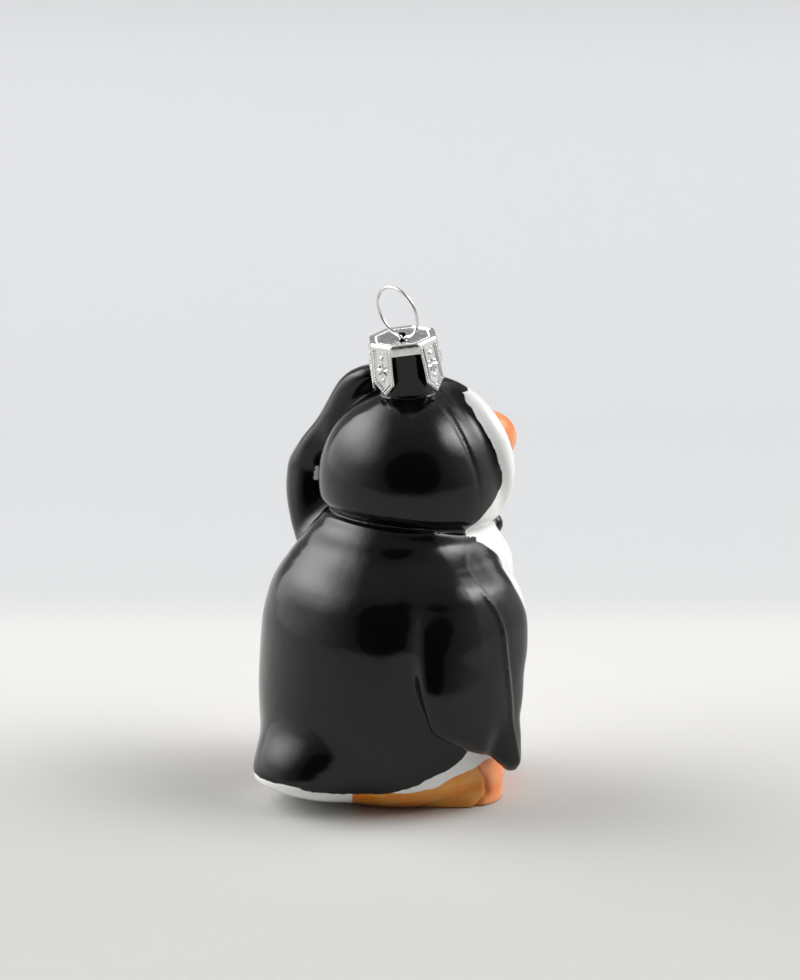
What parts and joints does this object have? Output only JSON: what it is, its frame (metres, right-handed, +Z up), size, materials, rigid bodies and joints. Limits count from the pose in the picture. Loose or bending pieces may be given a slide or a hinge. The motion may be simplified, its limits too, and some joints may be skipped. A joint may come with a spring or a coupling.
{
  "type": "penguin figurine",
  "caption": "Hollow blown-glass penguin ornament with one flipper raised, a flat base to stand on, and a petalled metal cap with a sprung wire loop to hang by.",
  "frame": {"origin": "on the plane of the flat base that the figure stands on, below the root of the neck", "axes": "+Z up, the penguin faces -Y, its left (the raised flipper) is +X"},
  "size_m": [0.0631, 0.0613, 0.0984],
  "materials": {
    "lacquered_glass": "hollow blown glass under glossy lacquer: black back, flippers and tail, white face, belly and base, orange beak and feet",
    "pressed_cap": "thin pressed sheet, bright, embossed with beading",
    "spring_wire": "bright drawn spring wire"
  },
  "bodies": {
    "figure": {"glass_figure": "lacquered_glass"},
    "cap": {"ornament_cap": "pressed_cap"},
    "hanger": {"hanger_wire": "spring_wire"}
  },
  "joints": [
    {"name": "cap_lift", "type": "slide", "parent": "figure", "child": "cap", "axis": [0, 0.1392, 0.9903], "range_m": [0, 0.016]},
    {"name": "hanger_tilt", "type": "hinge", "parent": "cap", "child": "hanger", "pos_m": [-0.00178, 0.00238, 0.0874], "axis": [0.9968, 0.0794, -0.0112], "range_deg": [-12, 12]}
  ]
}
